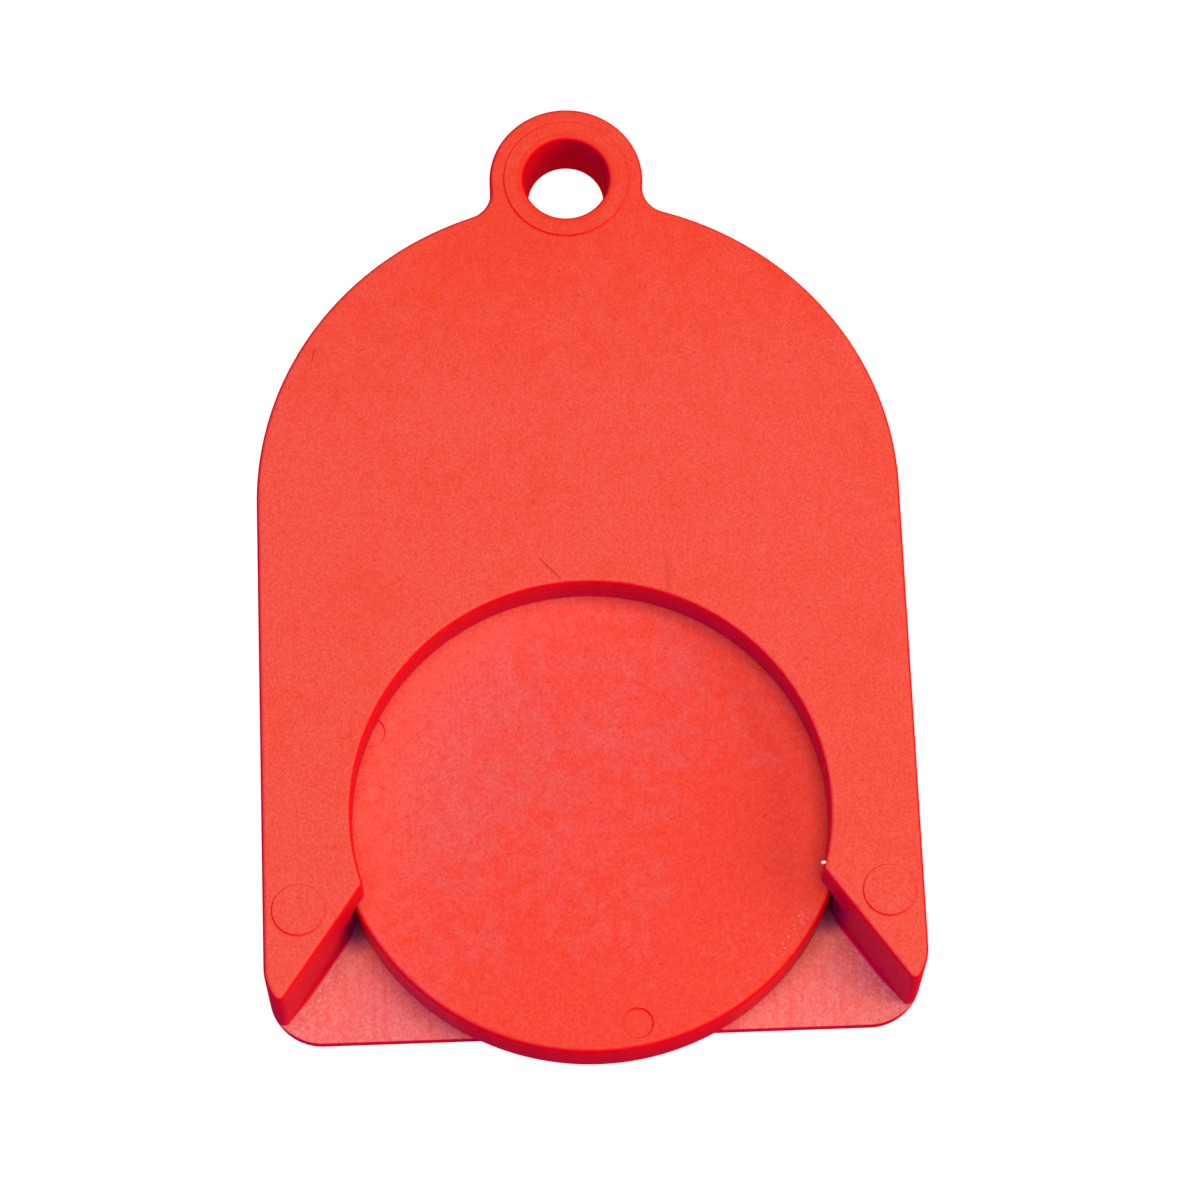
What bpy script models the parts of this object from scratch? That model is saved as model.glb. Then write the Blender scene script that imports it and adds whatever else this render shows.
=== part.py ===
"""Coin-token key fob: a flat moulded holder with a key-ring eye, and the round token in its slot.

Metres. The fob lies on its back: +Z is the way the front face looks, +Y points to the eye and the
token slides out towards -Y. The origin is on the plane of the back, under the middle of the whole fob.
"""

from math import atan2, cos, pi, radians, sin, sqrt, tan

import bmesh
import bpy

MM = 0.001

# The token, and the room that it has in the slot
TOKEN_RADIUS = 11.625 * MM
TOKEN_THICKNESS = 2.5 * MM
TOKEN_EDGE_ROUNDING = 0.18 * MM
SIDE_CLEARANCE = 0.13 * MM
FACE_CLEARANCE = 0.05 * MM

# The holder's layers, from the back: flange, slot, lip
FLANGE_THICKNESS = 0.6 * MM
LIP_THICKNESS = 2.0 * MM
EYE_THICKNESS = 3.0 * MM

# The holder's outline
HOLDER_WIDTH = 29.5 * MM
CORNER_RADIUS = 2.45 * MM
EYE_RADIUS = 3.6 * MM
NECK_FILLET = 1.3 * MM
EDGE_ROUNDING = 0.2 * MM

# The window, the bore and the two cuts at the open end
WINDOW_RADIUS = 10.73 * MM
BORE_FRONT_RADIUS = 2.0 * MM
BORE_BACK_RADIUS = 1.78 * MM
CUT_ANGLE = radians(35)

# Distances along Y from the window's centre
EYE_ABOVE_WINDOW = 30.9 * MM
ARCH_ABOVE_WINDOW = 15.06 * MM
CUT_APEX_ABOVE_WINDOW = 11.5 * MM
TOKEN_ABOVE_WINDOW = 0.9 * MM
END_BELOW_WINDOW = 9.3 * MM

# The shallow marks that the mould's ejectors leave
MARK_DEPTH = 0.05 * MM
HOLDER_PIN_RADIUS = 1.2 * MM
HOLDER_PIN_X = 13.17 * MM
HOLDER_PINS_BELOW_WINDOW = 4.27 * MM
SLEEVE_RADIUS = 2.95 * MM
TOKEN_PIN_RADIUS = 0.65 * MM
TOKEN_PINS_FROM_CENTRE = 10.5 * MM
TOKEN_PIN_COUNT = 3
TOKEN_TURN = radians(39.7)

# How finely the round shapes are drawn
ROUND_STEPS = 96
CORNER_STEPS = 8
BEVEL_SEGMENTS = 2

# How far a cutter reaches past what it cuts
REACH = 1.0 * MM

# Worked out from the dimensions above
THICKNESS = FLANGE_THICKNESS + TOKEN_THICKNESS + 2 * FACE_CLEARANCE + LIP_THICKNESS
LIP_BACK = THICKNESS - LIP_THICKNESS
EYE_BACK = THICKNESS - EYE_THICKNESS
HALF_WIDTH = HOLDER_WIDTH / 2
SLOT_RADIUS = TOKEN_RADIUS + SIDE_CLEARANCE
WINDOW_Y = -(EYE_ABOVE_WINDOW + EYE_RADIUS + TOKEN_ABOVE_WINDOW - TOKEN_RADIUS) / 2
EYE_Y = WINDOW_Y + EYE_ABOVE_WINDOW
ARCH_Y = WINDOW_Y + ARCH_ABOVE_WINDOW
TOKEN_Y = WINDOW_Y + TOKEN_ABOVE_WINDOW
END_Y = WINDOW_Y - END_BELOW_WINDOW
CUT_APEX_Y = WINDOW_Y + CUT_APEX_ABOVE_WINDOW


def clear_scene():
    for obj in list(bpy.data.objects):
        bpy.data.objects.remove(obj, do_unlink=True)


def new_collection(name):
    collection = bpy.data.collections.new(name)
    bpy.context.scene.collection.children.link(collection)
    return collection


def plastic(name, colour, roughness):
    material = bpy.data.materials.new(name)
    material.use_nodes = True
    shader = material.node_tree.nodes["Principled BSDF"]
    shader.inputs["Base Color"].default_value = (*colour, 1)
    shader.inputs["Roughness"].default_value = roughness
    shader.inputs["Metallic"].default_value = 0
    return material


def arc(centre, radius, start, end, steps):
    """Points from angle start to angle end, both ends in."""
    turns = [start + (end - start) * i / steps for i in range(steps + 1)]
    return [(centre[0] + radius * cos(turn), centre[1] + radius * sin(turn)) for turn in turns]


def mirrored(half):
    """A closed outline from its right half, which runs upwards from the bottom to the point on top."""
    top = (0, half[-1][1])
    right = half[:-1]
    return right + [top] + [(-x, y) for x, y in reversed(right)]


def neck_fillet_centre():
    """The centre of the fillet that touches both the arch and the eye, on the right."""
    to_arch = HALF_WIDTH + NECK_FILLET
    to_eye = EYE_RADIUS + NECK_FILLET
    apart = EYE_Y - ARCH_Y
    along = (to_arch**2 - to_eye**2 + apart**2) / (2 * apart)
    return sqrt(to_arch**2 - along**2), ARCH_Y + along


def holder_outline():
    """Round bottom corners, straight sides, an arch, and the eye on filleted shoulders."""
    fillet = neck_fillet_centre()
    arch_end = atan2(fillet[1] - ARCH_Y, fillet[0])
    eye_start = atan2(fillet[1] - EYE_Y, fillet[0])
    corner = (HALF_WIDTH - CORNER_RADIUS, END_Y + CORNER_RADIUS)
    half = arc(corner, CORNER_RADIUS, -pi / 2, 0, CORNER_STEPS)
    half += arc((0, ARCH_Y), HALF_WIDTH, 0, arch_end, ROUND_STEPS // 3)
    half += arc(fillet, NECK_FILLET, arch_end + pi, eye_start + pi, CORNER_STEPS)[1:]
    half += arc((0, EYE_Y), EYE_RADIUS, eye_start, pi / 2, ROUND_STEPS // 4)[1:]
    return mirrored(half)


def slot_outline():
    """Round where the token seats, then straight to past the open end, so that the token slides out."""
    low = END_Y - REACH
    seat = arc((0, TOKEN_Y), SLOT_RADIUS, 0, pi, ROUND_STEPS // 2)
    return [(SLOT_RADIUS, low), *seat, (-SLOT_RADIUS, low)]


def end_cut_outline():
    """The wedge whose two sides are the V cuts. It starts inside the window."""
    low = END_Y - REACH
    wide = (CUT_APEX_Y - low) * tan(CUT_ANGLE)
    narrow = (CUT_APEX_Y - WINDOW_Y) * tan(CUT_ANGLE)
    return [(wide, low), (narrow, WINDOW_Y), (-narrow, WINDOW_Y), (-wide, low)]


def eye_step_outline():
    """All that lies past the arch around the eye, where the eye is thinner than the body."""
    step_radius = HALF_WIDTH + SIDE_CLEARANCE / 2
    start = atan2(neck_fillet_centre()[1] - ARCH_Y, neck_fillet_centre()[0]) - radians(4)
    edge = arc((0, ARCH_Y), step_radius, start, pi - start, ROUND_STEPS // 4)
    high = EYE_Y + EYE_RADIUS + REACH
    return [*edge, (edge[-1][0], high), (edge[0][0], high)]


def plate(name, outline, low, high, collection):
    """A flat plate of this outline, from z = low to z = high, as a welded mesh."""
    curve = bpy.data.curves.new(name, "CURVE")
    curve.dimensions = "2D"
    curve.fill_mode = "BOTH"
    curve.extrude = (high - low) / 2
    spline = curve.splines.new("POLY")
    spline.points.add(len(outline) - 1)
    for point, (x, y) in zip(spline.points, outline):
        point.co = (x, y, 0, 1)
    spline.use_cyclic_u = True
    drawn = bpy.data.objects.new(name, curve)
    drawn.location.z = (low + high) / 2
    collection.objects.link(drawn)
    bpy.context.view_layer.update()
    graph = bpy.context.evaluated_depsgraph_get()
    mesh = bpy.data.meshes.new_from_object(drawn.evaluated_get(graph))
    place = drawn.matrix_world.copy()
    bpy.data.objects.remove(drawn, do_unlink=True)
    weld(mesh)
    solid = bpy.data.objects.new(name, mesh)
    solid.matrix_world = place
    collection.objects.link(solid)
    return solid


def weld(mesh):
    """Joins a curve's loose caps to its sides, and makes each cap one face."""
    form = bmesh.new()
    form.from_mesh(mesh)
    bmesh.ops.remove_doubles(form, verts=form.verts, dist=1e-6)
    bmesh.ops.dissolve_limit(form, angle_limit=radians(0.5), verts=form.verts, edges=form.edges)
    bmesh.ops.recalc_face_normals(form, faces=form.faces)
    form.to_mesh(mesh)
    form.free()


def round_cutter(name, centre, heights, radii, collection, steps=ROUND_STEPS // 2):
    """An upright cylinder, or a cone where its lower and upper radii differ."""
    low, high = heights
    mesh = bpy.data.meshes.new(name)
    form = bmesh.new()
    bmesh.ops.create_cone(
        form, cap_ends=True, segments=steps, radius1=radii[0], radius2=radii[1], depth=high - low
    )
    form.to_mesh(mesh)
    form.free()
    solid = bpy.data.objects.new(name, mesh)
    solid.location = (*centre, (low + high) / 2)
    collection.objects.link(solid)
    return as_cutter(solid)


def as_cutter(solid):
    solid.display_type = "WIRE"
    solid.hide_render = True
    return solid


def cut(target, cutter):
    modifier = target.modifiers.new(cutter.name, "BOOLEAN")
    modifier.operation = "DIFFERENCE"
    modifier.solver = "EXACT"
    modifier.object = cutter


def round_edges(target):
    """Rounds the sharp edges round the outline and leaves its gentle facets alone."""
    modifier = target.modifiers.new("edges", "BEVEL")
    modifier.width = EDGE_ROUNDING
    modifier.segments = BEVEL_SEGMENTS
    modifier.limit_method = "ANGLE"
    modifier.angle_limit = radians(60)


def smooth_round_faces(mesh):
    mesh.shade_smooth()
    mesh.set_sharp_from_angle(angle=radians(35))


def make_holder(parts, cutters, material):
    holder = plate("holder", holder_outline(), 0, THICKNESS, parts)
    holder.data.materials.append(material)
    smooth_round_faces(holder.data)
    round_edges(holder)
    above = THICKNESS + REACH
    cut(holder, as_cutter(plate("eye_step_cutter", eye_step_outline(), -REACH, EYE_BACK, cutters)))
    cut(holder, as_cutter(plate("slot_cutter", slot_outline(), FLANGE_THICKNESS, LIP_BACK, cutters)))
    cut(holder, as_cutter(plate("end_cuts_cutter", end_cut_outline(), FLANGE_THICKNESS, above, cutters)))
    cut(holder, window_cutter(cutters))
    cut(holder, bore_cutter(cutters))
    for mark in holder_mark_cutters(cutters):
        cut(holder, mark)
    return holder


def window_cutter(cutters):
    """Starts halfway up the slot, which is wider all round, and runs out through the front."""
    heights = ((FLANGE_THICKNESS + LIP_BACK) / 2, THICKNESS + REACH)
    radii = (WINDOW_RADIUS, WINDOW_RADIUS)
    return round_cutter("window_cutter", (0, WINDOW_Y), heights, radii, cutters, ROUND_STEPS)


def bore_cutter(cutters):
    """The eye's bore, which narrows towards the back. Under the eye it also notches the arch's edge."""
    slope = (BORE_FRONT_RADIUS - BORE_BACK_RADIUS) / EYE_THICKNESS
    low = BORE_BACK_RADIUS - slope * (EYE_BACK + REACH)
    high = BORE_FRONT_RADIUS + slope * REACH
    return round_cutter("bore_cutter", (0, EYE_Y), (-REACH, THICKNESS + REACH), (low, high), cutters)


def mark_cutter(name, centre, face, radius, cutters):
    """A shallow disc in a face that looks up, where an ejector pushed."""
    return round_cutter(name, centre, (face - MARK_DEPTH, face + REACH), (radius, radius), cutters)


def holder_mark_cutters(cutters):
    """The ejector sleeve's ring round the bore, and one pin's disc in each lower corner."""
    marks = [mark_cutter("sleeve_mark_cutter", (0, EYE_Y), THICKNESS, SLEEVE_RADIUS, cutters)]
    pin_y = WINDOW_Y - HOLDER_PINS_BELOW_WINDOW
    for side, x in (("left", -HOLDER_PIN_X), ("right", HOLDER_PIN_X)):
        name = f"{side}_pin_mark_cutter"
        marks.append(mark_cutter(name, (x, pin_y), THICKNESS, HOLDER_PIN_RADIUS, cutters))
    return marks


def token_profile():
    """From the axis on top, out to the rim, down it and back to the axis below."""
    half = TOKEN_THICKNESS / 2
    inner = TOKEN_RADIUS - TOKEN_EDGE_ROUNDING
    high = half - TOKEN_EDGE_ROUNDING
    upper = arc((inner, high), TOKEN_EDGE_ROUNDING, pi / 2, 0, BEVEL_SEGMENTS + 1)
    lower = arc((inner, -high), TOKEN_EDGE_ROUNDING, 0, -pi / 2, BEVEL_SEGMENTS + 1)
    return [(0, half), *upper, *lower, (0, -half)]


def make_token(parts, cutters, material):
    mesh = bpy.data.meshes.new("token")
    profile = token_profile()
    edges = [(i, i + 1) for i in range(len(profile) - 1)]
    mesh.from_pydata([(x, 0, z) for x, z in profile], edges, [])
    mesh.materials.append(material)
    token = bpy.data.objects.new("token", mesh)
    token_z = FLANGE_THICKNESS + FACE_CLEARANCE + TOKEN_THICKNESS / 2
    token.location = (0, TOKEN_Y, token_z)
    parts.objects.link(token)
    turn = token.modifiers.new("turn", "SCREW")
    turn.axis = "Z"
    turn.angle = 2 * pi
    turn.steps = ROUND_STEPS
    turn.render_steps = ROUND_STEPS
    turn.use_merge_vertices = True
    turn.merge_threshold = 1e-6
    turn.use_smooth_shade = True
    top = token_z + TOKEN_THICKNESS / 2
    for i in range(TOKEN_PIN_COUNT):
        angle = TOKEN_TURN + 2 * pi * i / TOKEN_PIN_COUNT
        x = TOKEN_PINS_FROM_CENTRE * cos(angle)
        y = TOKEN_Y + TOKEN_PINS_FROM_CENTRE * sin(angle)
        cut(token, mark_cutter(f"token_pin_mark_cutter_{i}", (x, y), top, TOKEN_PIN_RADIUS, cutters))
    return token


def main():
    clear_scene()
    parts = new_collection("token_fob")
    cutters = new_collection("cutters")
    frame = bpy.data.objects.new("fob_frame", None)
    frame.empty_display_size = 5 * MM
    parts.objects.link(frame)
    holder = make_holder(parts, cutters, plastic("holder_red", (0.94, 0.085, 0.058), 0.42))
    token = make_token(parts, cutters, plastic("token_red", (0.94, 0.085, 0.060), 0.38))
    for piece in (holder, token):
        piece.parent = frame


main()
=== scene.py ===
"""Coin-token key fob, lying on its back: a moulded holder and the round token in its slot.

Metres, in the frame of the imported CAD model: +Z is the way the front face looks, and +Y points to the eye.
"""

from itertools import product
from math import atan2, cos, pi, radians, sin, sqrt

import bmesh
import bpy
from mathutils import Matrix, Vector, noise
from mathutils.geometry import delaunay_2d_cdt


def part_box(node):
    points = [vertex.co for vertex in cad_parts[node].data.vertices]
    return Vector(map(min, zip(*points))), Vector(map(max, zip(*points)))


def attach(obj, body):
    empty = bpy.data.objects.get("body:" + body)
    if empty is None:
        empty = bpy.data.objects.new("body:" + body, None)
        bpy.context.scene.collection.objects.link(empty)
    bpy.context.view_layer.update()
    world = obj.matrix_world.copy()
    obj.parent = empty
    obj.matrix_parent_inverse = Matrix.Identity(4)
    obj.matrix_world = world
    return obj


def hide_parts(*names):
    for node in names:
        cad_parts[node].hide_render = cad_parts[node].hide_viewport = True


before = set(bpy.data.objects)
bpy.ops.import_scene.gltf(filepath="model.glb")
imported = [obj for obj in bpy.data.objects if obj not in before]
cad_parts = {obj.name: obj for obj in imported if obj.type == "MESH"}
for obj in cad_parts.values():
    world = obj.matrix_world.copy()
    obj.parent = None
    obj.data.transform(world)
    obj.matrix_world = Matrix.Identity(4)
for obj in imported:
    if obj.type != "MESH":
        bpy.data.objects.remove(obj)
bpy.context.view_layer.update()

MM = 0.001

# Sizes from the CAD
holder_low, holder_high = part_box("holder")
token_low, token_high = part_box("token")
HALF_WIDTH = (holder_high.x - holder_low.x) / 2
END_Y = holder_low.y
FRONT = holder_high.z
TOKEN_RADIUS = (token_high.x - token_low.x) / 2
TOKEN_Y = (token_low.y + token_high.y) / 2

# The holder's moulded shape
CORNER_RADIUS = 2.45 * MM
EYE_RADIUS = 3.6 * MM
NECK_FILLET = 1.3 * MM
WINDOW_RADIUS = 10.73 * MM
POCKET_CLEARANCE = 0.14 * MM
POCKET_RADIUS = TOKEN_RADIUS + POCKET_CLEARANCE
BORE_FRONT_RADIUS = 2.0 * MM
BORE_BACK_RADIUS = 1.78 * MM
CUT_ANGLE = radians(35)
CUT_APEX_ABOVE_WINDOW = 11.5 * MM
WINDOW_Y = END_Y + 9.3 * MM
ARCH_Y = WINDOW_Y + 15.06 * MM
EYE_Y = holder_high.y - EYE_RADIUS
FLANGE_TOP = 0.6 * MM
EYE_BACK = 2.2 * MM
LIP_BACK = 3.2 * MM

# Its roundings, and the token's
EDGE = 0.22 * MM
BORE_EDGE = 0.2 * MM
BORE_RIM = 0.32 * MM
BACK_EDGE = 0.2 * MM
FLANGE_EDGE = 0.1 * MM
EYE_BACK_EDGE = 0.2 * MM
LIP_BACK_EDGE = 0.08 * MM
FOOT_FILLET = 0.28 * MM
TIP_ROUNDING = 0.26 * MM
EXIT_ROUNDING = 0.3 * MM
NOTCH_ROUNDING = 0.25 * MM
TOKEN_EDGE = 0.26 * MM

# How far from its ends a rounding fades out. The V walls' foot fillet has one length for each end
TAPER = 1.1 * MM
FOOT_TAPER_IN = 0.45 * MM
FOOT_TAPER_OUT = 1.6 * MM

# The marks of the mould's ejectors. The holder's stand a little proud and the token's are a little sunk.
# Each has a fine groove around it, which is deepest on one side and has a share of that depth on the other
PROUD = 0.02 * MM
GROOVE_DEPTH = 0.035 * MM
GROOVE_HALF_WIDTH = 0.06 * MM
GROOVE_LEAST = 0.32
GROOVE_FALLOFF = 1.5
HOLDER_PINS_DEEPEST = radians(235)
SLEEVE_DEEPEST = radians(245)
TOKEN_PINS_DEEPEST = radians(50)
HOLDER_PIN_RADIUS = 1.2 * MM
HOLDER_PIN_X = 13.17 * MM
HOLDER_PIN_Y = WINDOW_Y - 4.27 * MM
SLEEVE_RADIUS = 2.95 * MM
TOKEN_PIN_RADIUS = 0.65 * MM
TOKEN_PINS_FROM_CENTRE = 10.5 * MM
TOKEN_PIN_COUNT = 3
TOKEN_TURN = radians(39.7)

# The front face around the marks, and the crumb of flash on the lip's right tip
FACE = FRONT - PROUD
FLASH_PLACE = Vector((10.31 * MM, WINDOW_Y - 2.89 * MM, FACE - 0.09 * MM))
FLASH_HALF = (0.13 * MM, 0.08 * MM, 0.07 * MM)

# How finely the shapes are drawn
SEGMENT = radians(1.5)
EYE_SEGMENT = radians(3)
CORNER_SEGMENT = radians(2.5)
FILLET_SEGMENT = radians(7.5)
LIP_WALL_STEPS = 4
CUT_WALL_STEPS = 36
SIDE_STEPS = 12
END_STEPS = 14
ROUNDING_STEPS = 6
LIP_BACK_STEPS = 3
HOLDER_PIN_STEPS = 72
SLEEVE_STEPS = 120
TOKEN_PIN_STEPS = 48
TOKEN_STEPS = 288

# Points are shared in cells of this size. A point this share of a cell from a border looks past it too
SAME_PLACE = 0.0002 * MM
BORDER_SHARE = 0.1

# What delaunay_2d_cdt gives back, and how close its points, in millimetres, are one point
WITHIN_LOOPS = 1
CDT_TOLERANCE = 1e-7


# ---------------------------------------------------------------- outlines
# A path is a list of (point, outward normal) pairs. The shapes are symmetric: a right half is drawn, and
# mirror gives the left one.


def arc(centre, radius, start, end, step=SEGMENT, hollow=False):
    """Points from angle start to angle end. A hollow arc's normals point to its centre."""
    count = max(2, round(abs(end - start) / step))
    side = -1 if hollow else 1
    path = []
    for i in range(count + 1):
        turn = start + (end - start) * i / count
        out = Vector((cos(turn), sin(turn)))
        path.append((centre + radius * out, side * out))
    return path


def line(start, end, count):
    """Evenly spaced points from start to end."""
    along = (end - start).normalized()
    normal = Vector((along.y, -along.x))
    return [(start.lerp(end, i / count), normal) for i in range(count + 1)]


def join(*paths):
    """One path from several, without the repeated point where they meet."""
    whole = list(paths[0])
    for path in paths[1:]:
        whole += path[1:]
    return whole


def mirror(path):
    return [(Vector((-p.x, p.y)), Vector((-n.x, n.y))) for p, n in reversed(path)]


def heading(point, centre):
    return atan2(point.y - centre.y, point.x - centre.x)


WINDOW = Vector((0, WINDOW_Y))
TOKEN = Vector((0, TOKEN_Y))
ARCH = Vector((0, ARCH_Y))
EYE = Vector((0, EYE_Y))
CORNER = Vector((HALF_WIDTH - CORNER_RADIUS, END_Y + CORNER_RADIUS))
CUT_APEX = Vector((0, WINDOW_Y + CUT_APEX_ABOVE_WINDOW))
CUT_ALONG = Vector((sin(CUT_ANGLE), -cos(CUT_ANGLE)))
CUT_INTO = Vector((cos(CUT_ANGLE), sin(CUT_ANGLE)))


def cut_fillet(centre, reach, rounding):
    """The centre of a fillet that touches the right V cut, reach away from another circle's centre. Of the
    two places where that is true, it is the one nearer the open end."""
    base = CUT_APEX + CUT_INTO * rounding - centre
    half = base.dot(CUT_ALONG)
    root = sqrt(half**2 - base.length_squared + reach**2)
    return centre + base + CUT_ALONG * (root - half)


def meeting(lower, lower_radius, upper, upper_radius):
    """Where two circles round points on the middle line meet, on the right."""
    apart = upper.y - lower.y
    up = (lower_radius**2 - upper_radius**2 + apart**2) / (2 * apart)
    return Vector((sqrt(lower_radius**2 - up**2), lower.y + up))


def toward(start, goal, length):
    return start + (goal - start).normalized() * length


def corner_arc(centre, radius, start, end):
    """The arc of a rounded corner, anticlockwise from one point to another."""
    first, last = heading(start, centre), heading(end, centre)
    if last < first:
        last += 2 * pi
    return arc(centre, radius, first, last, FILLET_SEGMENT)


def tip(round_centre, radius):
    """The arc from the top of a round hole down to the V cut and round the tip there, and where it ends."""
    centre = cut_fillet(round_centre, radius + TIP_ROUNDING, TIP_ROUNDING)
    touch = toward(round_centre, centre, radius)
    end = centre - CUT_INTO * TIP_ROUNDING
    inner = arc(round_centre, radius, pi / 2, heading(touch, round_centre), hollow=True)
    return join(inner, corner_arc(centre, TIP_ROUNDING, touch, end)), end


lip_inner, lip_end = tip(WINDOW, WINDOW_RADIUS)
slot_inner, slot_end = tip(TOKEN, POCKET_RADIUS)

exit_centre = cut_fillet(CORNER, CORNER_RADIUS - EXIT_ROUNDING, EXIT_ROUNDING)
exit_start = exit_centre - CUT_INTO * EXIT_ROUNDING
exit_end = toward(CORNER, exit_centre, CORNER_RADIUS)
exit_path = corner_arc(exit_centre, EXIT_ROUNDING, exit_start, exit_end)
lip_wall = line(lip_end, slot_end, LIP_WALL_STEPS)
cut_wall = line(slot_end, exit_start, CUT_WALL_STEPS)
exit_turn = heading(exit_end, CORNER)

NECK = meeting(ARCH, HALF_WIDTH + NECK_FILLET, EYE, EYE_RADIUS + NECK_FILLET)
neck_turn = heading(NECK, ARCH)

side_path = line(Vector((HALF_WIDTH, CORNER.y)), Vector((HALF_WIDTH, ARCH_Y)), SIDE_STEPS)
common = join(
    arc(CORNER, CORNER_RADIUS, exit_turn, 0, CORNER_SEGMENT),
    side_path,
    arc(ARCH, HALF_WIDTH, 0, neck_turn),
)
eye_start = heading(NECK, EYE)
eye_path = join(
    arc(NECK, NECK_FILLET, neck_turn + pi, eye_start + pi, FILLET_SEGMENT, hollow=True),
    arc(EYE, EYE_RADIUS, eye_start, pi / 2, EYE_SEGMENT),
)

# The bore notches the arch's edge under the eye
notch_centre = meeting(ARCH, HALF_WIDTH - NOTCH_ROUNDING, EYE, BORE_BACK_RADIUS + NOTCH_ROUNDING)
notch_start = toward(ARCH, notch_centre, HALF_WIDTH)
notch_end = toward(EYE, notch_centre, BORE_BACK_RADIUS)
notch_turn = heading(notch_end, EYE)
arch_top = join(
    arc(ARCH, HALF_WIDTH, neck_turn, heading(notch_start, ARCH)),
    corner_arc(notch_centre, NOTCH_ROUNDING, notch_start, notch_end),
)
notch = arc(EYE, BORE_BACK_RADIUS, notch_turn, -pi / 2, EYE_SEGMENT, hollow=True)
bore_top = arc(EYE, BORE_BACK_RADIUS, pi / 2, notch_turn, EYE_SEGMENT, hollow=True)
bottom = join(
    line(Vector((0, END_Y)), Vector((CORNER.x, END_Y)), END_STEPS),
    arc(CORNER, CORNER_RADIUS, -pi / 2, exit_turn, CORNER_SEGMENT),
)


# ---------------------------------------------------------------- mesh building


class Skin:
    """Collects faces with an exact normal at each of their corners."""

    def __init__(self):
        self.points = []
        self.index = {}
        self.faces = []
        self.normals = []

    def point(self, place):
        """The number of the point at this place, which may be there already, to a rounding error."""
        scaled = [v / SAME_PLACE for v in place]
        nearby = [{round(v), round(v - BORDER_SHARE), round(v + BORDER_SHARE)} for v in scaled]
        for key in product(*nearby):
            if key in self.index:
                return self.index[key]
        self.index[tuple(round(v) for v in scaled)] = len(self.points)
        self.points.append(tuple(place))
        return len(self.points) - 1

    def face(self, corners):
        """corners are (place, normal) pairs, counter-clockwise from outside."""
        kept = []
        for place, normal in corners:
            number = self.point(place)
            if all(number != other for other, _ in kept):
                kept.append((number, normal))
        if len(kept) >= 3:
            self.faces.append([number for number, _ in kept])
            self.normals += [tuple(Vector(normal).normalized()) for _, normal in kept]

    def strip(self, lower, upper, closed=False):
        """Quads between two rings of (place, normal). The outside is on the right of their direction."""
        count = len(lower)
        for i in range(count if closed else count - 1):
            j = (i + 1) % count
            self.face([lower[i], lower[j], upper[j], upper[i]])

    def strips(self, rings, closed=False):
        for lower, upper in zip(rings, rings[1:]):
            self.strip(lower, upper, closed)

    def fill(self, loops, up):
        """A flat face inside the first loop and outside the others. All their points have one height."""
        flat = [[Vector((x / MM, y / MM)) for x, y, *_ in loop] for loop in loops]
        points = [p for loop in flat for p in loop]
        given = [place for loop in loops for place in loop]
        edges = []
        first = 0
        for loop in flat:
            edges += [(first + i, first + (i + 1) % len(loop)) for i in range(len(loop))]
            first += len(loop)
        found, _, triangles, sources, *_ = delaunay_2d_cdt(points, edges, [], WITHIN_LOOPS, CDT_TOLERANCE)
        normal = (0, 0, 1 if up else -1)
        for triangle in triangles:
            middle = sum((found[i] for i in triangle), Vector((0, 0))) / 3
            if any(inside(middle, hole) for hole in flat[1:]) or not inside(middle, flat[0]):
                continue
            turned = triangle if up else reversed(triangle)
            self.face([(given[sources[i][0]], normal) for i in turned])

    def build(self, name, material):
        mesh = bpy.data.meshes.new(name)
        mesh.from_pydata(self.points, [], self.faces)
        mesh.shade_smooth()
        mesh.normals_split_custom_set(self.normals)
        mesh.materials.append(material)
        mesh.validate()
        return new_object(name, mesh)


def new_object(name, data):
    made = bpy.data.objects.new(name, data)
    bpy.context.scene.collection.objects.link(made)
    return made


def inside(point, loop):
    """Whether a point lies in a closed loop."""
    crossings = False
    for i, a in enumerate(loop):
        b = loop[i - 1]
        if (a.y > point.y) != (b.y > point.y):
            if point.x < (b.x - a.x) * (point.y - a.y) / (b.y - a.y) + a.x:
                crossings = not crossings
    return crossings


def listed(value, path):
    """One value for each point of a path."""
    return value if isinstance(value, list) else [value] * len(path)


def ring(path, height, inset=0.0, tilt=0.0):
    """A path at one height, moved into the material by inset, with normals that tilt up by an angle.
    Height and inset are numbers, or lists with one number for each point."""
    made = []
    for (p, n), z, d in zip(path, listed(height, path), listed(inset, path)):
        place = p - n * d
        made.append(((place.x, place.y, z), (n.x * cos(tilt), n.y * cos(tilt), sin(tilt))))
    return made


def quarter_turn(path, height, radius, tilts, up, into):
    """Rings round a quarter turn between a flat face at this height and a wall. The turn lies above the
    face where up is 1 and below it where up is -1, and on the material's side where into is 1."""
    sizes = listed(radius, path)
    rings = []
    for tilt in tilts:
        heights = [height + up * r * (1 - sin(tilt)) for r in sizes]
        insets = [into * r * (1 - cos(tilt)) for r in sizes]
        rings.append(ring(path, heights, insets, -up * into * tilt))
    return rings


def turns(start, end, steps=ROUNDING_STEPS):
    return [start + (end - start) * k / steps for k in range(steps + 1)]


def top_rounding(path, height, radius):
    """Rings from the wall up over a rounded edge to the face at this height."""
    return quarter_turn(path, height, radius, turns(0, pi / 2), -1, 1)


def back_rounding(path, height, radius, steps=ROUNDING_STEPS):
    """Rings from the face at this height, which looks down, round the edge to the wall above it."""
    return quarter_turn(path, height, radius, turns(pi / 2, 0, steps), 1, 1)


def foot_rounding(path, height, radius):
    """Rings from the floor at this height up a hollow fillet to the wall."""
    return quarter_turn(path, height, radius, turns(pi / 2, 0), 1, -1)


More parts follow.
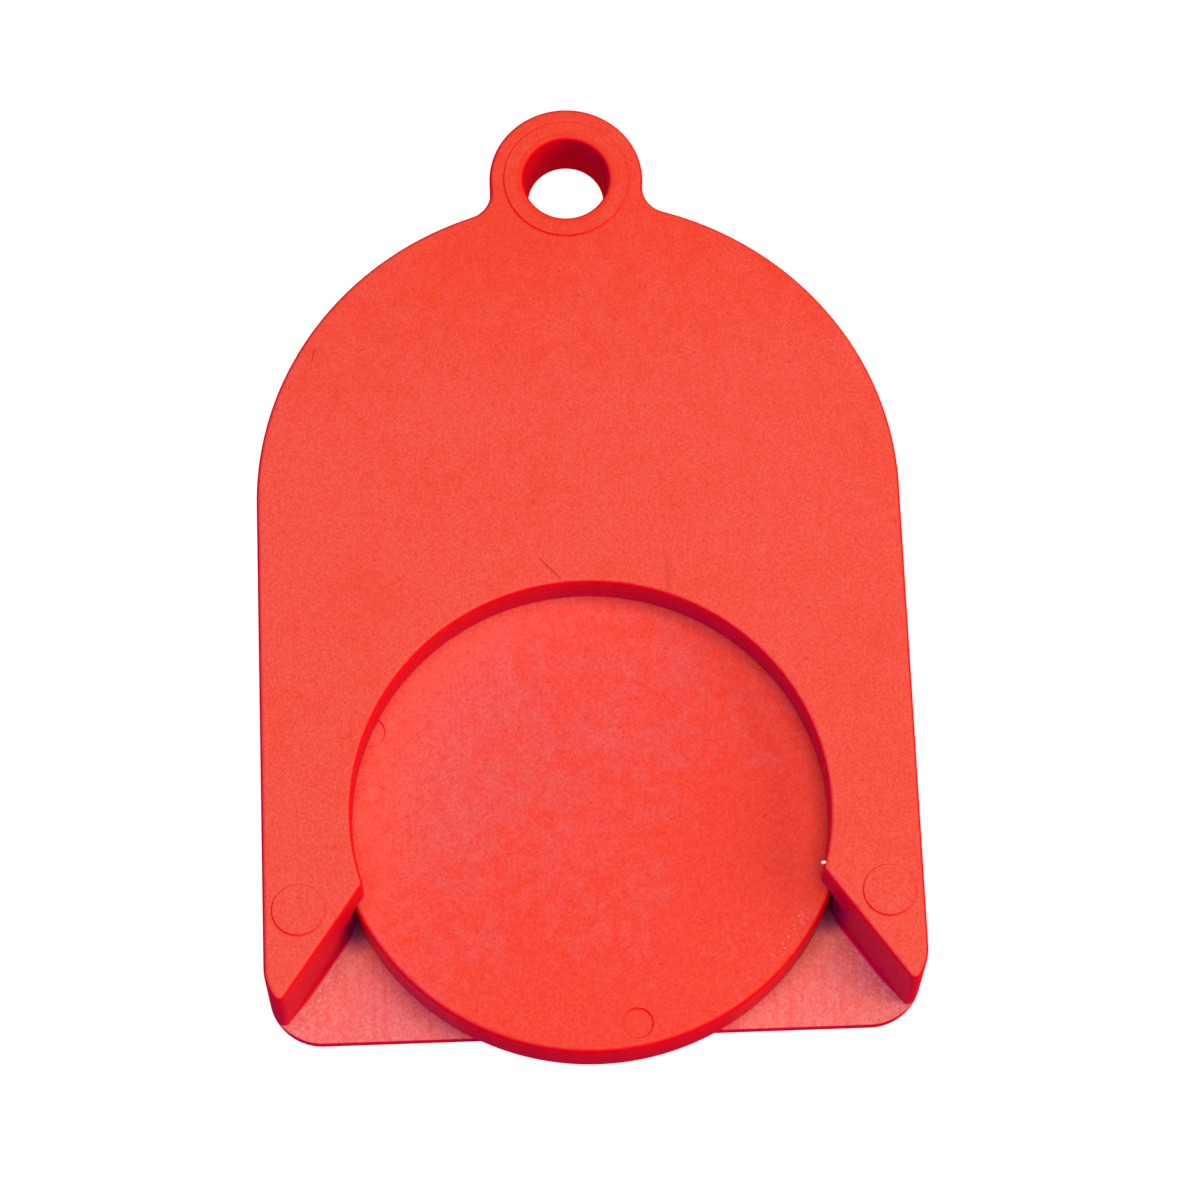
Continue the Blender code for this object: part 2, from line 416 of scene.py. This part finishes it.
def tapered(path, radius, first=TAPER, last=TAPER):
    """The radius along a path, which fades to nothing at its ends, over these lengths."""
    lengths = [0.0]
    for (a, _), (b, _) in zip(path, path[1:]):
        lengths.append(lengths[-1] + (b - a).length)
    total = lengths[-1]
    sizes = []
    for run in lengths:
        share = min(1.0, run / first, (total - run) / last)
        sizes.append(radius * share * share * (3 - 2 * share))
    return sizes


def places(made):
    return [place for place, _ in made]


def circle(centre, radius, count):
    return arc(centre, radius, 0, 2 * pi, 2 * pi / count)[:-1]


# ---------------------------------------------------------------- the holder


def groove(skin, centre, radius, outside, inside_height, deepest, count):
    """A fine V groove round a mark, from the face outside it to the mark's height. Gives its two rims."""
    outer = circle(centre, radius + GROOVE_HALF_WIDTH, count)
    bed = circle(centre, radius, count)
    inner = circle(centre, radius - GROOVE_HALF_WIDTH, count)
    deep_side = Vector((cos(deepest), sin(deepest)))
    nearness = [max(0, (1 + n.dot(deep_side)) / 2) for _, n in bed]
    shares = [GROOVE_LEAST + (1 - GROOVE_LEAST) * near**GROOVE_FALLOFF for near in nearness]
    low = [min(outside, inside_height) - GROOVE_DEPTH * share for share in shares]
    falls = [atan2(outside - z, GROOVE_HALF_WIDTH) for z in low]
    rises = [atan2(inside_height - z, GROOVE_HALF_WIDTH) for z in low]
    top = [outside] * count
    middle = [inside_height] * count
    skin.strip(slope(outer, top, -1, falls), slope(bed, low, -1, falls), closed=True)
    skin.strip(slope(bed, low, 1, rises), slope(inner, middle, 1, rises), closed=True)
    return places(ring(outer, outside)), places(ring(inner, inside_height))


def slope(path, heights, side, leans):
    """A ring of a cone: its normals lean from straight up to outward (side 1) or inward (side -1)."""
    return [
        ((p.x, p.y, z), (side * n.x * sin(lean), side * n.y * sin(lean), cos(lean)))
        for (p, n), z, lean in zip(path, heights, leans)
    ]


def make_holder():
    skin = Skin()
    common_both = [common, mirror(common)]

    # the back face, its rounding, and the flange's edge with the fine rounding on top of it
    low_path = join(bottom, common, arch_top, notch)
    low_loop = join(low_path, mirror(low_path))[:-1]
    rings = back_rounding(low_loop, 0.0, BACK_EDGE)
    skin.strips(rings, closed=True)
    skin.fill([places(rings[0])], up=False)
    flange_path = join(mirror(bottom), bottom)
    edge_sizes = tapered(flange_path, FLANGE_EDGE)
    edge_rings = top_rounding(flange_path, FLANGE_TOP, edge_sizes)
    skin.strips([ring(flange_path, BACK_EDGE), *edge_rings])

    # the wall round the pocket and the V cuts, on the flange
    slot_right = join(slot_inner, cut_wall, exit_path)
    slot_path = join(mirror(slot_right), slot_right)
    wall_sizes = tapered(cut_wall, FOOT_FILLET, FOOT_TAPER_IN, FOOT_TAPER_OUT)
    right_sizes = [0.0] * (len(slot_inner) - 1) + wall_sizes + [0.0] * (len(exit_path) - 1)
    slot_sizes = right_sizes[:0:-1] + right_sizes
    foot = foot_rounding(slot_path, FLANGE_TOP, slot_sizes)
    skin.strips([*foot, ring(slot_path, EYE_BACK), ring(slot_path, LIP_BACK)])
    skin.fill([places(edge_rings[-1]) + places(foot[0])[::-1][1:-1]], up=True)

    # the outer walls
    for path in common_both:
        skin.strips([ring(path, z) for z in (BACK_EDGE, FLANGE_TOP, EYE_BACK, LIP_BACK, FACE - EDGE)])
    arch_right = join(arch_top, notch)
    arch_both = join(arch_right, mirror(arch_right))
    skin.strips([ring(arch_both, BACK_EDGE), ring(arch_both, FLANGE_TOP), ring(arch_both, EYE_BACK)])

    # the eye: its back, its wall and its bore
    eye_both = join(eye_path, mirror(eye_path))
    eye_rings = back_rounding(eye_both, EYE_BACK, tapered(eye_both, EYE_BACK_EDGE))
    skin.strips([*eye_rings, ring(eye_both, LIP_BACK), ring(eye_both, FACE - EDGE)])
    bore_rings = make_bore(skin)
    bore_top_length = 2 * len(bore_top) - 1
    bore_rim = places(bore_rings[0])[:bore_top_length]
    outline = places(eye_rings[0])
    outline += places(ring(mirror(arch_top), EYE_BACK))[::-1][1:]
    outline += bore_rim[1:-1]
    outline += places(ring(arch_top, EYE_BACK))[::-1][:-1]
    skin.fill([outline], up=False)

    # the lip: its underside, its wall, and the front face's rounding all round
    lip_right = join(lip_inner, lip_wall)
    lip_path = join(mirror(lip_right), lip_right)
    lip_rings = back_rounding(lip_path, LIP_BACK, tapered(lip_path, LIP_BACK_EDGE), LIP_BACK_STEPS)
    skin.strips([*lip_rings, ring(lip_path, FACE - EDGE)])
    pocket_path = join(mirror(slot_inner), slot_inner)
    roof = places(ring(pocket_path, LIP_BACK)) + places(lip_rings[0])[::-1][1:-1]
    skin.fill([roof], up=False)
    walls_right = join(cut_wall, exit_path)
    for path in (walls_right, mirror(walls_right)):
        skin.strip(ring(path, LIP_BACK), ring(path, FACE - EDGE))

    top_right = join(lip_inner, lip_wall, cut_wall, exit_path, common, eye_path)
    top_loop = join(top_right, mirror(top_right))[:-1]
    top_rings = top_rounding(top_loop, FACE, EDGE)
    skin.strips(top_rings, closed=True)

    # the front face, with its marks
    holes = []
    pin = (HOLDER_PIN_RADIUS, FACE, FRONT, HOLDER_PINS_DEEPEST, HOLDER_PIN_STEPS)
    for side in (-1, 1):
        outer, inner = groove(skin, Vector((side * HOLDER_PIN_X, HOLDER_PIN_Y)), *pin)
        holes.append(outer)
        skin.fill([inner], up=True)
    outer, inner = groove(skin, EYE, SLEEVE_RADIUS, FACE, FRONT, SLEEVE_DEEPEST, SLEEVE_STEPS)
    holes.append(outer)
    skin.fill([inner, places(bore_rings[-1])], up=True)
    skin.fill([places(top_rings[-1]), *holes], up=True)
    return skin


def make_bore(skin):
    """The eye's bore, which narrows to the back and is rounded at both rims. Its rings start at the left
    end of the notch and run clockwise."""
    loop = join(mirror(bore_top), bore_top, notch, mirror(notch))[:-1]
    top_sizes = tapered(join(mirror(bore_top), bore_top), EDGE)
    sizes = top_sizes + [0.0] * (len(loop) - len(top_sizes))
    widening = BORE_FRONT_RADIUS - BORE_BACK_RADIUS
    draft = atan2(widening, FRONT - EYE_BACK)
    rings = back_rounding(loop, EYE_BACK, sizes)
    for tilt in turns(draft, pi / 2):
        inset = widening + BORE_EDGE * (1 - cos(tilt))
        rings.append(ring(loop, FRONT - BORE_EDGE * (1 - sin(tilt)), inset, tilt))
    skin.strips(rings, closed=True)
    return rings


# ---------------------------------------------------------------- the token


def make_token():
    skin = Skin()
    top, back = token_high.z, token_low.z
    rim = circle(TOKEN, TOKEN_RADIUS, TOKEN_STEPS)
    rings = back_rounding(rim, back, TOKEN_EDGE) + top_rounding(rim, top, TOKEN_EDGE)
    skin.strips(rings, closed=True)
    skin.fill([places(rings[0])], up=False)
    holes = []
    pin = (TOKEN_PIN_RADIUS, top, top - PROUD, TOKEN_PINS_DEEPEST, TOKEN_PIN_STEPS)
    for i in range(TOKEN_PIN_COUNT):
        turn = TOKEN_TURN + 2 * pi * i / TOKEN_PIN_COUNT
        centre = TOKEN + TOKEN_PINS_FROM_CENTRE * Vector((cos(turn), sin(turn)))
        outer, inner = groove(skin, centre, *pin)
        holes.append(outer)
        skin.fill([inner], up=True)
    skin.fill([places(rings[-1]), *holes], up=True)
    return skin


def make_flash(material):
    """An uneven crumb of flash left on the tip of the lip, on the right, painted pale as a glint."""
    mesh = bpy.data.meshes.new("lip_flash")
    crumb = bmesh.new()
    bmesh.ops.create_icosphere(crumb, subdivisions=3, radius=1)
    for vertex in crumb.verts:
        vertex.co *= 1 + 0.3 * noise.noise(vertex.co * 1.7)
        vertex.co = FLASH_PLACE + Vector(c * half for c, half in zip(vertex.co, FLASH_HALF))
    bmesh.ops.smooth_vert(crumb, verts=crumb.verts, factor=0.3)
    crumb.to_mesh(mesh)
    crumb.free()
    mesh.shade_smooth()
    mesh.materials.append(material)
    return new_object("lip_flash", mesh)


# ---------------------------------------------------------------- materials

# Colours, scene linear. Walls are a fuller red than faces, whose paler tones are painted sheen, and darker
# and more violet towards their feet as painted shade
HOLDER_PALE = (0.85, 0.103, 0.095)
HOLDER_DEEP = (0.845, 0.070, 0.047)
TOKEN_PALE = (0.80, 0.112, 0.146)
TOKEN_DEEP = (0.87, 0.062, 0.053)
WALL_HEAD = (0.90, 0.0012, 0.010)
# Painted shade: the walls' darker, more violet feet
WALL_FOOT_SHADE = (0.76, 0.0004, 0.044)
WALL_DEEP = (0.62, 0.0006, 0.030)
GRAIN_RED = (0.74, 0.018, 0.010)
SPECK_RED = (0.42, 0.008, 0.012)
# Painted shading of the bore's rounded rim
RIM_SHADING_RED = (0.88, 0.022, 0.006)
# Painted shade for the corners under the lip's tips
CORNER_PAINTED_SHADE = (0.17, 0, 0.11)
FLANGE_PINK = (0.80, 0.22, 0.285)
FLANGE_STREAK = (0.80, 0.12, 0.15)
BLOOM = (0.9, 0.38, 0.52)
# Painted glint on the crumb of flash
FLASH_GLINT_WHITE = (0.95, 0.9, 0.92)
FLASH_GLINT_PINK = (0.93, 0.6, 0.6)

# How large the plastic's patterns are
MOTTLE_SIZE = 5.5 * MM
BLOTCH_SIZE = 0.8 * MM
PATCH_SIZE = 0.4 * MM
SPECK_SIZE = 0.17 * MM
GRAIN_SIZE = 0.11 * MM
GRAIN_HEIGHT = 0.012 * MM
STREAK_SIZE = 0.3 * MM
BLOOM_SIZE = 0.13 * MM
SCUFF_SIZE = 0.16 * MM
FLASH_GLINT_PATCH_SIZE = 0.09 * MM

SPECULAR = 0.07
# How far down the walls' painted shade reaches
WALL_SHADE_FADE = 1.3 * MM
SCUFF_TURN = radians(-38)

# Start, end, width and strength of each faint weld line on the front face
WELD_LINES = (
    ((-1.83 * MM, WINDOW_Y + 11.9 * MM), (-0.98 * MM, WINDOW_Y + 10.95 * MM), 0.09 * MM, 0.6),
    ((-12.1 * MM, WINDOW_Y + 22.0 * MM), (-11.95 * MM, WINDOW_Y + 22.6 * MM), 0.08 * MM, 0.6),
    ((3.93 * MM, WINDOW_Y + 9.9 * MM), (3.93 * MM, WINDOW_Y + 11.8 * MM), 0.32 * MM, 0.22),
)


class Nodes:
    """A short way to write a node tree. A value is a socket of another node, or a number or colour."""

    def __init__(self, owner):
        owner.use_nodes = True
        self.tree = owner.node_tree
        self.shader = self.tree.nodes.get("Principled BSDF")

    def link(self, source, target):
        """Links a socket to the target, or sets the target to a plain value."""
        if isinstance(source, bpy.types.NodeSocket):
            self.tree.links.new(source, target)
        else:
            target.default_value = source

    def add(self, kind, output, inputs=None, **settings):
        """Gives one output of a new node."""
        node = self.tree.nodes.new(kind)
        for name, value in settings.items():
            setattr(node, name, value)
        for name, value in (inputs or {}).items():
            self.link(value, node.inputs[name])
        return node.outputs[output]

    def math(self, operation, a, b=0.0, clamp=False):
        return self.add("ShaderNodeMath", 0, {0: a, 1: b}, operation=operation, use_clamp=clamp)

    def noise(self, place, size, detail=2.0, roughness=0.5, w=0.0):
        """Noise whose blobs are about this size across, in metres. w picks another pattern."""
        inputs = {"Vector": place, "Scale": 1 / size, "Detail": detail, "Roughness": roughness, "W": w}
        return self.add("ShaderNodeTexNoise", 0, inputs, noise_dimensions="4D")

    def ramp(self, value, low, high, to_low=0.0, to_high=1.0):
        """value, from low..high to to_low..to_high, smoothly and clamped."""
        inputs = {"Value": value, "From Min": low, "From Max": high, "To Min": to_low, "To Max": to_high}
        return self.add("ShaderNodeMapRange", 0, inputs, interpolation_type="SMOOTHSTEP")

    def along(self, place, direction):
        """How far a place lies along a direction."""
        return self.add("ShaderNodeVectorMath", 1, {0: place, 1: direction}, operation="DOT_PRODUCT")

    def parts(self, place):
        """The x, y and z of a place."""
        node = self.tree.nodes.new("ShaderNodeSeparateXYZ")
        self.link(place, node.inputs[0])
        return node.outputs

    def distance(self, place, target):
        return self.add("ShaderNodeVectorMath", 1, {0: place, 1: target}, operation="DISTANCE")

    def subtract(self, place, origin):
        return self.add("ShaderNodeVectorMath", 0, {0: place, 1: origin}, operation="SUBTRACT")

    def stretch(self, place, factors):
        return self.add("ShaderNodeVectorMath", 0, {0: place, 1: factors}, operation="MULTIPLY")

    def product(self, *values):
        whole = values[0]
        for value in values[1:]:
            whole = self.math("MULTIPLY", whole, value)
        return whole

    def hairline(self, place, start, end, width, share):
        """A line on the front face that fades out over its width."""
        first, last = Vector((*start, FACE)), Vector((*end, FACE))
        span = last - first
        offset = self.subtract(place, first)
        run = self.math("DIVIDE", self.along(offset, span), span.length_squared, clamp=True)
        foot = self.add("ShaderNodeVectorMath", 0, {0: span, "Scale": run}, operation="SCALE")
        return self.ramp(self.distance(offset, foot), 0, width, share, 0)

    def mix(self, share, a, b):
        """From colour a to colour b."""
        node = self.tree.nodes.new("ShaderNodeMix")
        node.data_type = "RGBA"
        self.link(share, node.inputs[0])
        self.link(a if isinstance(a, bpy.types.NodeSocket) else (*a, 1), node.inputs[6])
        self.link(b if isinstance(b, bpy.types.NodeSocket) else (*b, 1), node.inputs[7])
        return node.outputs[2]


def red_plastic(name, pale, deep, sheen_fade, top, roughness, details):
    """Moulded red plastic. Its faces go from pale to deep as painted sheen, with sheen_fade giving the
    direction and where that starts and ends, and they have a fine grain, soft mottling and dark specks.
    Edges and walls are a fuller red, and darker and more violet below the top as painted shade. details adds
    what only this piece has, with any painted shade in its corners."""
    material = bpy.data.materials.new(name)
    nodes = Nodes(material)
    coordinates = nodes.tree.nodes.new("ShaderNodeTexCoord")
    place = coordinates.outputs["Object"]
    upright = nodes.add("ShaderNodeSeparateXYZ", "Z", {0: coordinates.outputs["Normal"]})
    flat = nodes.ramp(nodes.math("ABSOLUTE", upright), 0.7, 0.985)

    # Painted sheen: faces are paler where the overhead light would sheen on them and a fuller red away from
    # it; mottling and blotches add random tone on top
    direction, start, end = sheen_fade
    sheen_falloff = nodes.ramp(nodes.along(place, direction), start, end)
    mottle = nodes.ramp(nodes.noise(place, MOTTLE_SIZE, 3, 0.55), 0.33, 0.67, -0.26, 0.26)
    blotch = nodes.ramp(nodes.noise(place, BLOTCH_SIZE, 3, 0.6, 1.7), 0.33, 0.67, -0.28, 0.28)
    depth = nodes.math("ADD", nodes.math("ADD", sheen_falloff, mottle), blotch, clamp=True)
    colour = nodes.mix(depth, pale, deep)
    colour, corner_shade = details(nodes, place, upright, colour)
    grain = nodes.noise(place, GRAIN_SIZE, 3, 0.7, 3.1)
    colour = nodes.mix(nodes.ramp(grain, 0.34, 0.66, 0.0, 0.52), colour, GRAIN_RED)
    patches = nodes.noise(place, PATCH_SIZE, 2, 0.5, 5.3)
    colour = nodes.mix(nodes.ramp(patches, 0.45, 0.7, 0.0, 0.16), colour, GRAIN_RED)
    specks = nodes.noise(place, SPECK_SIZE, 1, 0.5, 7.9)
    colour = nodes.mix(nodes.ramp(specks, 0.67, 0.78, 0.0, 0.4), colour, SPECK_RED)
    height = nodes.parts(place)["Z"]
    # Painted shade: walls go darker and more violet from their head down to their feet
    wall = nodes.mix(nodes.ramp(height, top - WALL_SHADE_FADE, top - 0.15 * MM), WALL_FOOT_SHADE, WALL_HEAD)
    wall = nodes.mix(nodes.ramp(grain, 0.34, 0.66, 0.0, 0.3), wall, WALL_DEEP)
    wall = nodes.mix(nodes.ramp(patches, 0.3, 0.7, 0.0, 0.3), wall, WALL_DEEP)
    # Walls take the wall colour and faces keep theirs; then painted shade darkens the corners under the
    # lip's tips
    colour = nodes.mix(corner_shade, nodes.mix(flat, wall, colour), CORNER_PAINTED_SHADE)
    nodes.link(colour, nodes.shader.inputs["Base Color"])

    nodes.link(SPECULAR, nodes.shader.inputs["Specular IOR Level"])
    rough = nodes.ramp(grain, 0.3, 0.7, roughness - 0.06, roughness + 0.06)
    nodes.link(rough, nodes.shader.inputs["Roughness"])
    bump = nodes.add("ShaderNodeBump", 0, {"Strength": 0.35, "Distance": GRAIN_HEIGHT, "Height": grain})
    nodes.link(bump, nodes.shader.inputs["Normal"])
    return material


def flange_colour(nodes, place, from_tip):
    """Pale, with streaks along the way the token slides, and a white bloom along the V walls' feet that
    stays clear of the slot's tips."""
    x, y, _ = nodes.parts(place)
    streaks = nodes.noise(nodes.stretch(place, (1, 0.08, 1)), STREAK_SIZE, 2, 0.6, 9.2)
    colour = nodes.mix(nodes.ramp(streaks, 0.45, 0.7, 0, 0.5), FLANGE_PINK, FLANGE_STREAK)
    across = nodes.math("MULTIPLY", nodes.math("ABSOLUTE", x), CUT_INTO.x)
    rise = nodes.math("MULTIPLY", nodes.math("SUBTRACT", y, CUT_APEX.y), CUT_INTO.y)
    near_wall = nodes.ramp(nodes.math("ADD", across, rise), -1.5 * MM, -0.25 * MM)
    off_tip = nodes.ramp(from_tip, 0.9 * MM, 2.4 * MM)
    past_slot = nodes.ramp(y, slot_end.y - 0.6 * MM, slot_end.y, 1, 0)
    bloom = nodes.ramp(nodes.noise(place, BLOOM_SIZE, 2, 0.7, 4.4), 0.5, 0.64, 0, 0.75)
    return nodes.mix(nodes.product(near_wall, off_tip, past_slot, bloom), colour, BLOOM)


def holder_details(nodes, place, upright, colour):
    """The flange's paler colour, a fuller red round the bore's rim as painted shading of its rounding, and
    faint weld lines. Also gives the painted shade in the corners under the lip's tips."""
    x, y, z = nodes.parts(place)
    mirrored = nodes.add("ShaderNodeCombineXYZ", 0, {0: nodes.math("ABSOLUTE", x), 1: y})
    from_tip = nodes.distance(mirrored, (*slot_end, 0))
    low = nodes.ramp(z, FLANGE_TOP + 0.02 * MM, FLANGE_TOP + 0.08 * MM, 1, 0)
    on_flange = nodes.product(low, nodes.ramp(upright, 0.8, 0.95))
    colour = nodes.mix(on_flange, colour, flange_colour(nodes, place, from_tip))
    from_eye = nodes.distance(mirrored, (*EYE, 0))
    rim_end = BORE_FRONT_RADIUS + BORE_RIM
    # Painted shading: the bore's rounded rim is a fuller red, which runs a little onto the face
    rim_shading = nodes.ramp(from_eye, rim_end - 0.06 * MM, rim_end + 0.08 * MM, 0.45, 0)
    colour = nodes.mix(rim_shading, colour, RIM_SHADING_RED)
    for start, end, width, share in WELD_LINES:
        colour = nodes.mix(nodes.hairline(place, start, end, width, share), colour, SPECK_RED)
    # Painted shade in the corners under the lip's tips, strongest near the slot's tips and only below the
    # lip's underside
    under_lip_shade = nodes.ramp(z, LIP_BACK - 0.6 * MM, LIP_BACK, 1, 0)
    return colour, nodes.product(nodes.ramp(from_tip, 0.2 * MM, 1.4 * MM, 0.85, 0), under_lip_shade)


def token_details(nodes, place, upright, colour):
    """Pale scuffs just inside the lower right edge. The token gets no painted shade."""
    offset = nodes.stretch(nodes.subtract(place, (*TOKEN, 0)), (1, 1, 0))
    reach = nodes.add("ShaderNodeVectorMath", 1, {0: offset}, operation="LENGTH")
    aim = nodes.along(offset, (cos(SCUFF_TURN), sin(SCUFF_TURN), 0))
    beside = nodes.ramp(nodes.math("DIVIDE", aim, reach), 0.982, 0.998)
    outer = nodes.ramp(reach, TOKEN_RADIUS - 0.5 * MM, TOKEN_RADIUS - 0.25 * MM, 1, 0)
    inner = nodes.ramp(reach, TOKEN_RADIUS - 1.1 * MM, TOKEN_RADIUS - 0.7 * MM)
    marks = nodes.ramp(nodes.noise(place, SCUFF_SIZE, 3, 0.7, 6.6), 0.54, 0.66, 0, 0.65)
    return nodes.mix(nodes.product(outer, inner, beside, marks), colour, BLOOM), 0.0


def flash_glint_material():
    """Whitish pink: a painted glint on the crumb of flash."""
    material = bpy.data.materials.new("flash_painted_glint")
    nodes = Nodes(material)
    place = nodes.tree.nodes.new("ShaderNodeTexCoord").outputs["Object"]
    patches = nodes.ramp(nodes.noise(place, FLASH_GLINT_PATCH_SIZE, 2, 0.6), 0.4, 0.6)
    nodes.link(nodes.mix(patches, FLASH_GLINT_WHITE, FLASH_GLINT_PINK), nodes.shader.inputs["Base Color"])
    nodes.link(nodes.ramp(patches, 0, 1, 0.3, 0.5), nodes.shader.inputs["Roughness"])
    return material


# ---------------------------------------------------------------- the scene

# The floor is white to the camera, and gives only a reddish bounce to the object. The surround is pale
# to the camera and a dim violet to the object
FLOOR_BOUNCE = (0.75, 0.04, 0.10)
FLOOR_HALF = 3.0
FLOOR_HEIGHT = -0.01 * MM
WORLD_DIM = (0.06, 0.01, 0.25)
WORLD_PALE = (0.95, 0.95, 0.96)

# Name, place, side, power and colour of each square softbox. All aim at the fob
LIGHTS = (
    ("softbox_top", (0.06, -0.03, 0.62), 0.5, 3.87, (1, 1, 0.5)),
    ("softbox_right", (0.5, -0.12, 0.26), 0.3, 1.75, (1, 1, 0.3)),
    ("glow_left", (-0.4, -0.3, 0.08), 0.3, 1.6, (0.1, 0, 1)),
)

# The camera's place is measured from the window's centre, on the front face
CAMERA_PLACE = Vector((0, WINDOW_Y, FRONT)) + Vector((-3.65, -60.77, 199.96)) * MM
CAMERA_LENS = 142.3
CAMERA_TILT = radians(19.57)
CAMERA_LEAN = radians(-1.15)
CAMERA_ROLL = radians(-2.28)


def show(piece, body, *nodes, slot):
    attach(piece, body)
    if nodes:
        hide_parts(*nodes)


def area_light(name, place, side, power, colour):
    light = bpy.data.lights.new(name, "AREA")
    light.shape = "SQUARE"
    light.size = side
    light.energy = power
    light.color = colour
    lamp = new_object(name, light)
    lamp.location = place
    lamp.rotation_mode = "QUATERNION"
    lamp.rotation_quaternion = (-Vector(place)).to_track_quat("-Z", "Y")


def make_stage():
    mesh = bpy.data.meshes.new("floor")
    signs = ((-1, -1), (1, -1), (1, 1), (-1, 1))
    corners = [(x * FLOOR_HALF, y * FLOOR_HALF, FLOOR_HEIGHT) for x, y in signs]
    mesh.from_pydata(corners, [], [(0, 1, 2, 3)])
    floor = new_object("floor", mesh)
    material = bpy.data.materials.new("floor_white")
    nodes = Nodes(material)
    nodes.link((*FLOOR_BOUNCE, 1), nodes.shader.inputs["Base Color"])
    nodes.link(0.9, nodes.shader.inputs["Roughness"])
    seen = nodes.tree.nodes.new("ShaderNodeLightPath").outputs["Is Camera Ray"]
    nodes.link(seen, nodes.shader.inputs["Emission Strength"])
    nodes.link((1, 1, 1, 1), nodes.shader.inputs["Emission Color"])
    mesh.materials.append(material)


def make_world():
    world = bpy.data.worlds.new("studio")
    nodes = Nodes(world)
    seen = nodes.tree.nodes.new("ShaderNodeLightPath").outputs["Is Camera Ray"]
    background = nodes.tree.nodes["Background"]
    nodes.link(nodes.mix(seen, WORLD_DIM, WORLD_PALE), background.inputs["Color"])
    bpy.context.scene.world = world


def make_camera():
    """A long lens that looks down from the open end, 20 degrees off the upright."""
    camera = bpy.data.cameras.new("camera")
    camera.lens = CAMERA_LENS
    camera.sensor_width = 36
    camera.clip_start = 0.01
    camera.clip_end = 20
    view = new_object("camera", camera)
    tilt = Matrix.Rotation(CAMERA_TILT, 4, "X")
    lean = Matrix.Rotation(CAMERA_LEAN, 4, "Y")
    roll = Matrix.Rotation(CAMERA_ROLL, 4, "Z")
    view.matrix_world = Matrix.Translation(CAMERA_PLACE) @ lean @ tilt @ roll
    bpy.context.scene.camera = view


# The holder's painted sheen: paler low down, a fuller red towards the eye
holder_plastic = red_plastic(
    "holder_satin",
    pale=HOLDER_PALE,
    deep=HOLDER_DEEP,
    sheen_fade=((0, 1, 0), ARCH_Y + 2 * MM, EYE_Y),
    top=FRONT,
    roughness=0.45,
    details=holder_details,
)
# The token's painted sheen: paler at the upper left, a fuller red towards the lower right
token_sheen_fade = Vector((0.6, -0.6, 0))
token_sheen_middle = token_sheen_fade.y * TOKEN_Y
token_plastic = red_plastic(
    "token_satin",
    pale=TOKEN_PALE,
    deep=TOKEN_DEEP,
    sheen_fade=(token_sheen_fade, token_sheen_middle - 10 * MM, token_sheen_middle + 8 * MM),
    top=token_high.z,
    roughness=0.42,
    details=token_details,
)

show(make_holder().build("holder_moulding", holder_plastic), "holder", "holder", slot="holder_plastic")
show(make_token().build("token_disc", token_plastic), "token", "token", slot="token_plastic")
show(make_flash(flash_glint_material()), "holder", slot="holder_plastic")

make_stage()
make_world()
for light in LIGHTS:
    area_light(*light)
make_camera()
bpy.context.scene.view_settings.view_transform = "Standard"
